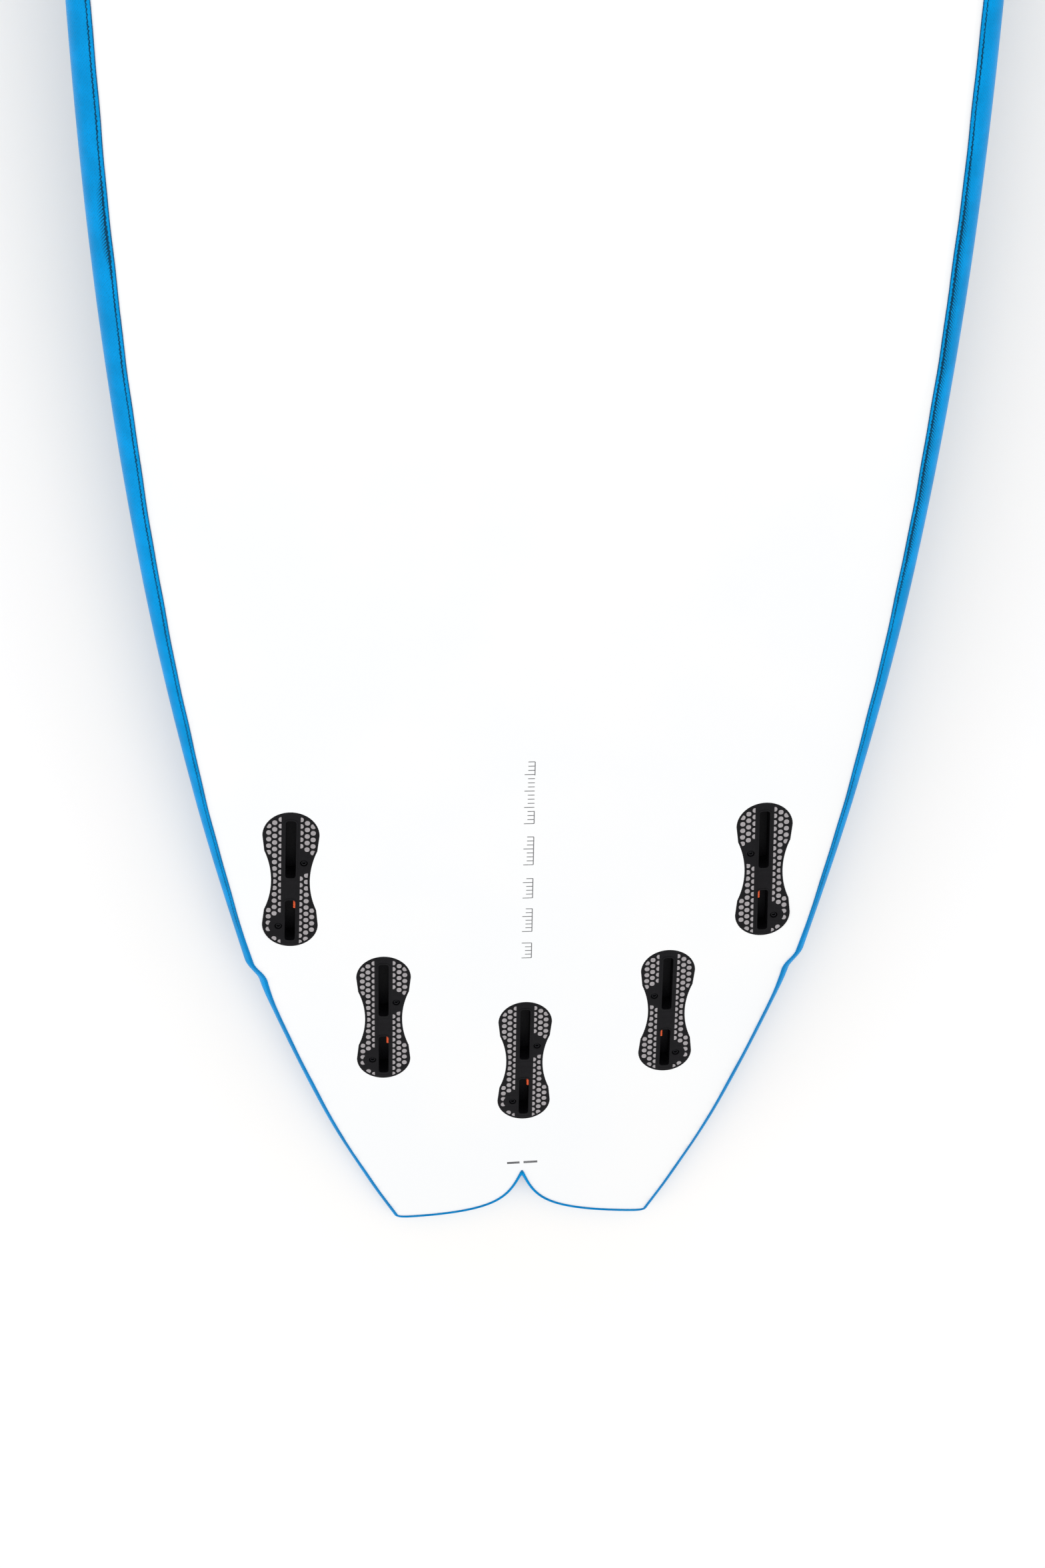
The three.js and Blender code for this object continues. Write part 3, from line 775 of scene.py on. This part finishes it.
def flange_outline(grow=0.0, segments=40):
    lobe = LOBE_RADIUS + grow
    end = FLANGE_LENGTH / 2 - LOBE_RADIUS
    centre = end - LOBE_STRAIGHT
    narrow = WAIST + grow
    hollow = (narrow ** 2 + centre ** 2 - lobe ** 2) / (2 * (lobe - narrow))
    lean = math.degrees(math.atan2(centre, narrow + hollow))
    half = arc(0, end, lobe, 0, 180, segments)
    half += arc(-narrow - hollow, 0, hollow, lean, -lean, segments // 2)
    return half + [(-x, -y) for x, y in half]


def rounded_rectangle(left, right, rear, front, radius, segments=8):
    return [*arc(right - radius, rear + radius, radius, -90, 0, segments),
            *arc(right - radius, front - radius, radius, 0, 90, segments),
            *arc(left + radius, front - radius, radius, 90, 180, segments),
            *arc(left + radius, rear + radius, radius, 180, 270, segments)]


def angles_round(count):
    return np.linspace(0, 2 * math.pi, count, endpoint=False)


def circle(x, y, radius, segments=40):
    return arc(x, y, radius, 0, 360, segments)[:-1]


def clip_half_plane(polygon, normal, limit):
    """The part of a polygon where normal . p >= limit."""
    kept = []
    for (ax, ay), (bx, by) in zip(polygon, polygon[1:] + polygon[:1]):
        da = ax * normal[0] + ay * normal[1] - limit
        db = bx * normal[0] + by * normal[1] - limit
        if da >= 0:
            kept.append((ax, ay))
        if (da >= 0) != (db >= 0):
            t = da / (da - db)
            kept.append((ax + (bx - ax) * t, ay + (by - ay) * t))
    return kept


def polygon_area(polygon):
    total = sum(ax * by - bx * ay for (ax, ay), (bx, by) in zip(polygon, polygon[1:] + polygon[:1]))
    return abs(total) / 2


def honeycomb(grow=0.0):
    """The flange's holes, for the plug whose front screw is at +x: soft ovals in columns beside the
    bar, cut short by the bar, the rim and the screw bosses."""
    pitch, first, least_gap = 5.59, 49.3, 0.06
    columns = {6.8: 0.5, 11.1: 0.0, 15.15: 0.5}  # distance from the middle, and share of a pitch ahead
    rim, bar, least_area = 1.45, 6.5, 2.4
    half_high, half_wide, fullness = 1.97, 1.8, 2.25
    # place, radius, and how far along the column beside the bar is left out
    bosses = [(*FRONT_SCREW, 8.8, 9.5), (*REAR_SCREW, 6.9, 12)]
    edge = np.array(flange_outline(-rim + grow, 60))

    def oval(cx, cy):
        cell = []
        for angle in angles_round(36):
            c, s = math.cos(angle), math.sin(angle)
            cell.append((cx + (half_wide + grow) * math.copysign(abs(c) ** (2 / fullness), c),
                         cy + (half_high + grow) * math.copysign(abs(s) ** (2 / fullness), s)))
        return cell

    def left_out(cx, cy):
        for bx, by, radius, skipped in bosses:
            beside_bar = abs(cx) < 8 and cx * bx > 0
            if math.dist((cx, cy), (bx, by)) < radius or (beside_bar and abs(cy - by) < skipped):
                return True
        return False

    def pressed(cell):
        """The cell with each point that is past the rim or in a boss moved back to its edge."""
        points = np.array(cell)
        outside = ~inside(points, edge)
        if outside.mean() > 0.5:
            return []
        for i in np.nonzero(outside)[0]:
            points[i] = edge[np.argmin(np.linalg.norm(edge - points[i], axis=1))]
        for bx, by, radius, _ in bosses:
            away = points - (bx, by)
            size = np.linalg.norm(away, axis=1, keepdims=True)
            points = (bx, by) + away * np.maximum(1, (radius - grow) / size)
        kept = [tuple(points[0])]
        for point in points[1:]:
            if math.dist(point, kept[-1]) > least_gap:
                kept.append(tuple(point))
        return kept[:-1] if math.dist(kept[0], kept[-1]) < least_gap else kept

    cells = []
    for hand in (-1, 1):
        for column, stagger in columns.items():
            for k in range(-1, 20):
                cx, cy = hand * column, first + pitch * (stagger - k)
                if left_out(cx, cy):
                    continue
                cell = pressed(clip_half_plane(oval(cx, cy), (hand, 0), bar - grow))
                if len(cell) > 3 and polygon_area(cell) > least_area:
                    cells.append(cell)
    return cells


# ---- solids in millimetres

def mesh_of(temporary):
    """The evaluated mesh of an object, which is then removed."""
    graph = bpy.context.evaluated_depsgraph_get()
    graph.update()
    mesh = bpy.data.meshes.new_from_object(temporary.evaluated_get(graph))
    bpy.data.objects.remove(temporary)
    return mesh


def facing_out(mesh, weld=0.0):
    """The mesh with its faces turned outwards, after points closer than `weld` are made one."""
    bm = bmesh.new()
    bm.from_mesh(mesh)
    if weld:
        bmesh.ops.remove_doubles(bm, verts=bm.verts, dist=weld)
    bmesh.ops.recalc_face_normals(bm, faces=bm.faces)
    bm.to_mesh(mesh)
    bm.free()
    return mesh


def plate(loops, bottom, top, bevel=0.0):
    """A flat plate with outlines and holes (even-odd), with rounded edges."""
    curve = bpy.data.curves.new("plate", "CURVE")
    curve.dimensions = "2D"
    curve.fill_mode = "BOTH"
    curve.extrude = (top - bottom) / 2 - bevel
    curve.bevel_depth = bevel
    curve.bevel_resolution = 2
    curve.offset = -bevel
    for loop in loops:
        spline = curve.splines.new("POLY")
        spline.points.add(len(loop) - 1)
        for point, (x, y) in zip(spline.points, loop):
            point.co = (x, y, 0, 1)
        spline.use_cyclic_u = True
    mesh = mesh_of(linked("plate", curve))
    mesh.transform(Matrix.Translation((0, 0, (top + bottom) / 2)))
    return facing_out(mesh, 1e-4)


def combine(base, others, operation):
    """Boolean of millimetre meshes: base with each of the others."""
    first = linked("base", base)
    helpers = [linked("other", other) for other in others]
    for helper in helpers:
        modifier = first.modifiers.new("cut", "BOOLEAN")
        modifier.operation = operation
        modifier.solver = "EXACT"
        modifier.object = helper
    mesh = mesh_of(first)
    for helper in helpers:
        bpy.data.objects.remove(helper)
    return mesh


def joined(meshes):
    """Several meshes as one, without a boolean."""
    bm = bmesh.new()
    for mesh in meshes:
        bm.from_mesh(mesh)
    result = bpy.data.meshes.new("joined")
    bm.to_mesh(result)
    bm.free()
    return result


def finished(mesh, name, hand=1, smooth_angle=32):
    """A copy of a millimetre mesh in metres, mirrored for hand -1, shaded smooth below an angle."""
    result = mesh.copy()
    result.name = name
    result.transform(Matrix.Diagonal((hand * MM, MM, MM, 1)))
    if hand < 0:
        result.flip_normals()
    result.polygons.foreach_set("use_smooth", [True] * len(result.polygons))
    result.set_sharp_from_angle(angle=math.radians(smooth_angle))
    result.materials.clear()
    return result


def lofted(rings):
    """A closed body through rings with the same number of points each."""
    count = len(rings[0])
    points = [p for ring in rings for p in ring]
    faces = []
    for r in range(len(rings) - 1):
        for i in range(count):
            j = (i + 1) % count
            faces.append([r * count + i, r * count + j, (r + 1) * count + j, (r + 1) * count + i])
    faces.append(list(range(count - 1, -1, -1)))
    faces.append([(len(rings) - 1) * count + i for i in range(count)])
    mesh = bpy.data.meshes.new("loft")
    mesh.from_pydata(points, [], faces)
    return facing_out(mesh)


# ---- the fin plug's pieces, hand +1

LATCH_INNER = SLOT_WIDTH / 2 - LATCH["proud"]
LATCH_OUTER = LATCH_INNER + LATCH["length"]
LATCH_BACK = LATCH_OUTER + LATCH["travel"] + SPRING["length"] - SPRING["seated"] + GAP
LATCH_Y = REAR_SLOT[1] - LATCH["width"] / 2 - GAP
LATCH_MIDDLE = -LATCH["sunk"] - LATCH["height"] / 2
HOUSING_LENGTH = LATCH["length"] + SPRING["length"] + 3.6
HOUSING_HALF_WIDTH = LATCH["width"] / 2 + 1.8


def plug_underside(top, grow):
    """What stands under the flange: the bar, the screws' bosses and the latch's housing."""
    half = SPINE_WIDTH / 2 + grow
    end = FLANGE_LENGTH / 2 - 3 + grow
    bar = plate([rounded_rectangle(-half, half, -end, end, 3 + grow)], -BODY_DEPTH - grow, top)
    bosses = [plate([circle(x, y, BOSS_RADIUS + grow)], -BOSS_DEPTH - grow, top)
              for x, y in (FRONT_SCREW, REAR_SCREW)]
    wide = HOUSING_HALF_WIDTH + grow
    housing = plate([rounded_rectangle(0, HOUSING_LENGTH + grow, LATCH_Y - wide, LATCH_Y + wide, 1)],
                    -BOSS_DEPTH - grow, top)
    return combine(bar, [*bosses, housing], "UNION")


def slot_lip(rear, front):
    """The raised rim round a slot."""
    half = SLOT_WIDTH / 2
    inner = rounded_rectangle(-half, half, rear, front, SLOT_CORNER)
    outer = rounded_rectangle(-half - LIP_WIDTH, half + LIP_WIDTH, rear - LIP_WIDTH, front + LIP_WIDTH,
                              SLOT_CORNER + LIP_WIDTH)
    return plate([outer, inner], -0.1, 0.22, 0.1)


def plug_body_mesh():
    flange = plate([flange_outline(), *honeycomb()], -FLANGE_THICKNESS, 0, 0.14)
    body = combine(flange, [plug_underside(SPINE_TOP, 0)], "UNION")
    half = SLOT_WIDTH / 2
    cuts = [plate([rounded_rectangle(-half, half, *slot, SLOT_CORNER)], -SLOT_DEPTH, 2)
            for slot in (FRONT_SLOT, REAR_SLOT)]
    for x, y in (FRONT_SCREW, REAR_SCREW):
        hole = SCREW_RADIUS + GAP
        depth = -SCREW_SUNK - SCREW_LENGTH - GAP
        rings = [[(px, py, z) for px, py in circle(x, y, radius, 48)]
                 for radius, z in ((hole + 0.9, 0.6), (hole, -0.3), (hole, depth))]
        cuts.append(lofted(rings))
    wide = LATCH["width"] / 2 + GAP
    pocket_top = -LATCH["sunk"] + GAP
    pocket_bottom = -LATCH["sunk"] - LATCH["height"] - GAP
    cuts.append(plate([rounded_rectangle(0, LATCH_BACK, LATCH_Y - wide, LATCH_Y + wide, 0.4)],
                      pocket_bottom, pocket_top))
    body = combine(body, cuts, "DIFFERENCE")
    return joined([body, slot_lip(*FRONT_SLOT), slot_lip(*REAR_SLOT)])


def resin_mesh():
    """The bed of resin under the flange, with a peg in each hole that stops clear of the latch."""
    top = -FLANGE_THICKNESS - GAP
    bed = plate([flange_outline()], top - RESIN_THICKNESS, top, 0.1)
    bed = combine(bed, [plug_underside(0, GAP)], "DIFFERENCE")
    pegs = []
    for cell in honeycomb(-0.04):
        over_housing = any(0 < x < HOUSING_LENGTH and abs(y - LATCH_Y) < HOUSING_HALF_WIDTH
                           for x, y in cell)
        pegs.append(plate([cell], SPINE_TOP + 0.02 if over_housing else top - 0.5, -0.08, 0.06))
    return joined([bed, *pegs])


def screw_mesh():
    """A grub screw, axis along z, head face at z = 0: thread, chamfers and a hexagon socket."""
    count, pitch, depth = 48, 0.8, 0.28
    turns = angles_round(count)

    def ring(radius, z):
        return [(radius * math.cos(a), radius * math.sin(a), z) for a in turns]

    def hexagon(radius, z):
        corners = []
        for a in turns:
            turn = (a + math.pi / 6) % (math.pi / 3) - math.pi / 6
            reach = radius * math.cos(math.pi / 6) / math.cos(math.pi / 6 - abs(turn))
            corners.append((reach * math.cos(a), reach * math.sin(a), z))
        return corners

    core = SCREW_RADIUS - depth
    rings = [ring(0.02, -SCREW_LENGTH + 0.6), ring(1.1, -SCREW_LENGTH), ring(core - 0.25, -SCREW_LENGTH)]
    for z in np.arange(-SCREW_LENGTH + 0.3, -0.34, 0.1):
        fade = min((z + SCREW_LENGTH) / 0.9, -z / 0.8, 1)
        thread = []
        for a in turns:
            wave = abs(((z / pitch - a / (2 * math.pi)) % 1) * 2 - 1)
            radius = core + depth * fade * min(max(wave * 1.6 - 0.3, 0), 1)
            thread.append((radius * math.cos(a), radius * math.sin(a), z))
        rings.append(thread)
    rings += [ring(core + 0.02, -0.3), ring(core - 0.28, 0), ring(SOCKET_RADIUS + 0.28, 0),
              hexagon(SOCKET_RADIUS, -0.2), hexagon(SOCKET_RADIUS, -1.9), ring(0.02, -2.4)]
    return lofted(rings)


def latch_mesh():
    """The latch: a softened block with three grooves in its proud face, bored for its spring."""
    half = LATCH["width"] / 2
    block = plate([rounded_rectangle(LATCH_INNER, LATCH_OUTER, LATCH_Y - half, LATCH_Y + half, 0.7)],
                  -LATCH["sunk"] - LATCH["height"], -LATCH["sunk"], 0.3)
    depth = SPRING["seated"] + LATCH["travel"] + GAP
    radius = SPRING["radius"] + SPRING["wire"] + GAP
    bore = [[(x, LATCH_Y + radius * math.cos(a), LATCH_MIDDLE + radius * math.sin(a))
             for a in angles_round(32)]
            for x in (LATCH_OUTER - depth, LATCH_OUTER + 1)]
    grooves = []
    for offset in (-1.6, 0.0, 1.6):
        z = LATCH_MIDDLE + 2.4
        y = LATCH_Y + offset
        grooves.append(plate([rounded_rectangle(LATCH_INNER - 1, LATCH_INNER + 0.25, y - 0.3, y + 0.3, 0.1)],
                             z - 1.6, z + 3))
    return combine(block, [lofted(bore), *grooves], "DIFFERENCE")


def spring_mesh():
    """The latch's return spring: an even coil of round wire."""
    end = LATCH_BACK - GAP - SPRING["wire"]
    run = SPRING["length"] - 2 * SPRING["wire"]
    steps = 40 * SPRING["turns"]
    curve = bpy.data.curves.new("coil", "CURVE")
    curve.dimensions = "3D"
    curve.bevel_depth = SPRING["wire"]
    curve.bevel_resolution = 4
    curve.use_fill_caps = True
    spline = curve.splines.new("POLY")
    spline.points.add(steps)
    for i in range(steps + 1):
        share = i / steps
        turn = share * SPRING["turns"] * 2 * math.pi
        spline.points[i].co = (end - run * share, LATCH_Y + SPRING["radius"] * math.cos(turn),
                               LATCH_MIDDLE + SPRING["radius"] * math.sin(turn), 1)
    return mesh_of(linked("coil", curve))


def make_plugs():
    # piece, mesh for hand +1, angle it is shaded smooth below, slot, CAD node
    kinds = [
        ("honeycomb_plug", plug_body_mesh(), 32, "black_plug", "plug_body"),
        ("resin_fill", resin_mesh(), 32, "cured_resin", "resin_bed"),
        ("latch_tab", latch_mesh(), 32, "orange_latch", "latch"),
        ("coil", spring_mesh(), 60, "spring_steel", "latch_spring"),
    ]
    made = {(piece, hand): finished(mesh, piece, hand, smooth)
            for piece, mesh, smooth, _, _ in kinds for hand in (1, -1)}
    screw = finished(screw_mesh(), "screw", 1, 40)
    for name, x, y, toe, hand in PLUGS:
        local = seat_point(x, y, toe)
        place = in_metres(local)
        for piece, _, _, slot, node in kinds:
            body = f"{name}_latch" if piece == "latch_tab" else BOARD
            place_piece(f"{name}_{piece}", made[piece, hand], slot, place, [f"{name}_{node}"], body)
        for end, (side, along) in (("front", FRONT_SCREW), ("rear", REAR_SCREW)):
            at = in_metres(local @ Matrix.Translation((hand * side, along, -SCREW_SUNK)))
            node = f"{name}_{end}_screw"
            place_piece(f"{name}_{end}_grub_screw", screw, "screw_steel", at, [node], node)


# ---- leash plug

def deck_place():
    """The leash plug's place on the deck, +z out of the deck."""
    def height(y):
        return float(surface_height(-1, 0, y))
    y = LEASH["y"]
    tilt = math.atan((height(y + 10) - height(y - 10)) / 20)
    return Matrix.Translation((0, y, height(y) - LEASH["proud"])) @ Matrix.Rotation(math.pi + tilt, 4, "X")


def make_leash_plug():
    flange, outer, inner = LEASH["flange"], LEASH["outer"], LEASH["inner"]
    rim, depth, floor = LEASH["rim"], LEASH["depth"], LEASH["floor"]
    bottom = -depth + floor
    profile = [(0.05, -depth), (outer - 0.8, -depth), (outer, -depth + 0.8), (outer, -rim - 0.3),
               (outer + 0.3, -rim), (flange - 0.2, -rim), (flange, -rim + 0.2), (flange, -0.45),
               (flange - 0.13, -0.13), (flange - 0.45, 0), (inner + 0.7, 0), (inner + 0.2, -0.2),
               (inner, -0.7), (inner, bottom + 1.2), (inner - 0.35, bottom + 0.35),
               (inner - 1.2, bottom), (0.05, bottom)]
    rings = [[(px, py, z) for px, py in circle(0, 0, radius, 72)] for radius, z in profile]
    pin_z = -LEASH["pin_depth"] - LEASH["pin"]

    def rod(radius, half, ease):
        profile = [(-half, 0.02), (-half, radius - ease), (-half + ease, radius), (half - ease, radius),
                   (half, radius - ease), (half, 0.02)]
        return lofted([[(x, r * math.cos(a), pin_z + r * math.sin(a))
                        for a in angles_round(36)] for x, r in profile])

    cup = combine(lofted(rings), [rod(LEASH["pin"] + GAP, outer - 1, 0.1)], "DIFFERENCE")
    place = in_metres(deck_place())
    place_piece("leash_cup", finished(cup, "leash_cup"), "black_plug", place, ["leash_plug_cup"])
    pin = finished(rod(LEASH["pin"], outer - 1 - GAP, 0.3), "leash_pin", 1, 50)
    place_piece("leash_pin", pin, "screw_steel", place, ["leash_plug_pin"])


# ---- pencil marks

def ribbon(line, width):
    """A narrow strip along a line on the fin side: its points and faces."""
    line = np.array(line, float)
    along = np.gradient(line, axis=0)
    along /= np.maximum(np.linalg.norm(along, axis=1, keepdims=True), 1e-9)
    across = np.column_stack([-along[:, 1], along[:, 0]]) * width / 2
    plan = np.vstack([line + across, line - across])
    z = surface_height(1, plan[:, 0], plan[:, 1]) + 0.03
    count = len(line)
    faces = [[i, i + 1, i + 1 + count, i + count] for i in range(count - 1)]
    return np.column_stack([plan, z]), faces


def make_pencil_marks():
    """A plain scale of pencil ticks up the centre line, in groups, and two dashes by the tail."""
    foot, tall, short = 3.4, 7.0, 4.6  # where the ticks start, and their lengths
    width, pitch, dash_width = 0.62, 3.4, 2.2
    groups = [(262, 5), (286, 7), (316, 6), (345, 8), (380, 16)]  # start and number of ticks
    points, faces = [], []

    def draw(line, breadth):
        strip, strip_faces = ribbon(line, breadth)
        faces.extend([i + len(points) for i in face] for face in strip_faces)
        points.extend(strip.tolist())

    for start, ticks in groups:
        for i in range(ticks):
            at = start + i * pitch
            draw([(foot, at), (foot - (short if i % 4 else tall), at)], width)
        draw([(foot, start), (foot, start + (ticks - 1) * pitch)], width)
    for start, end in ((-11.5, -2), (1, 11.5)):
        draw([(x, 59 + 0.04 * x) for x in np.linspace(start, end, 8)], dash_width)
    mesh = bpy.data.meshes.new("pencil")
    mesh.from_pydata((np.array(points) * MM).tolist(), [], faces)
    bm = bmesh.new()
    bm.from_mesh(mesh)
    for face in bm.faces:
        face.normal_update()
        if face.normal.z < 0:
            face.normal_flip()
    bm.to_mesh(mesh)
    bm.free()
    place_piece("pencil_scale", mesh, "pencil", BOARD_TO_ROW, [])


# ---- the whole board

def in_plan(place, outline):
    """An outline in the frame of a placed plug, in the board's plan."""
    return np.array([tuple((place @ Vector((x, y, 0)))[:2]) for x, y in outline])


def make_board():
    openings = [in_plan(seat_point(x, y, toe), flange_outline(OPENING_GROW)) for _, x, y, toe, _ in PLUGS]
    bottom = laminate_mesh("bottom_skin", 1, FIN_LAP, openings)
    place_piece("fin_side_skin", bottom, "white_laminate", Matrix(), ["bottom_laminate"])
    hole = in_plan(deck_place(), circle(0, 0, LEASH["flange"] + OPENING_GROW, 72))
    deck = laminate_mesh("deck_skin", -1, DECK_LAP_LINE, [hole])
    place_piece("deck_side_skin", deck, "white_laminate", Matrix(), ["deck_laminate"])
    for side in (-1, 1):
        rail_wrap(side)
    core = frame["nodes"]["foam_core"]
    core.data.materials.clear()
    core.data.materials.append(MATERIALS["foam"])


# ---- camera, light, floor

def make_camera():
    """Above the middle of the board, looking back and down at the tail half."""
    yaw, pitch, roll = math.radians(3.49), math.radians(30.58), math.radians(-0.63)
    cy, sy, cp, sp, cr, sr = (f(a) for a in (yaw, pitch, roll) for f in (math.cos, math.sin))
    forward = Vector((cp * sy, -sp, -cp * cy))
    upright = Vector((sp * sy, cp, -sp * cy))
    level = Vector((cy, 0, sy))
    right = cr * level - sr * upright
    up = sr * level + cr * upright
    axes = Matrix((right, up, -forward)).transposed().to_4x4()
    data = bpy.data.cameras.new("camera")
    data.sensor_width = 36
    data.lens = 58.16
    data.clip_start = 0.05
    camera = linked("camera", data)
    camera.matrix_world = in_metres(Matrix.Translation((-95, 1287, 1460)) @ axes)
    bpy.context.scene.camera = camera


def make_stage():
    mesh = bpy.data.meshes.new("floor")
    bm = bmesh.new()
    bmesh.ops.create_grid(bm, x_segments=40, y_segments=40, size=7)
    bm.to_mesh(mesh)
    bm.free()
    mesh.materials.append(floor_material())
    floor = linked("floor", mesh)
    floor.location.z = cad_box[0].z - FLOOR_GAP

    world = bpy.data.worlds.new("studio")
    bpy.context.scene.world = world
    world.use_nodes = True
    background = world.node_tree.nodes["Background"]
    background.inputs["Color"].default_value = (1.0, 1.0, 1.0, 1)
    background.inputs["Strength"].default_value = 0.795

    def area(name, at, towards, size, power):
        light = bpy.data.lights.new(name, "AREA")
        light.shape = "RECTANGLE"
        light.size, light.size_y = size
        light.energy = power
        lamp = linked(name, light)
        lamp.location = at
        lamp.rotation_euler = (Vector(towards) - Vector(at)).to_track_quat("-Z", "Y").to_euler()

    area("overhead", (0.3, -0.2, 3.2), (0, -0.2, 0), (3.5, 4.5), 34)
    area("left", (-2.6, -1.0, 1.8), (0, -0.3, 0), (2.0, 3.0), 10)
    bpy.context.scene.view_settings.view_transform = "Standard"


make_camera()
make_board()
make_plugs()
make_leash_plug()
make_pencil_marks()
make_stage()
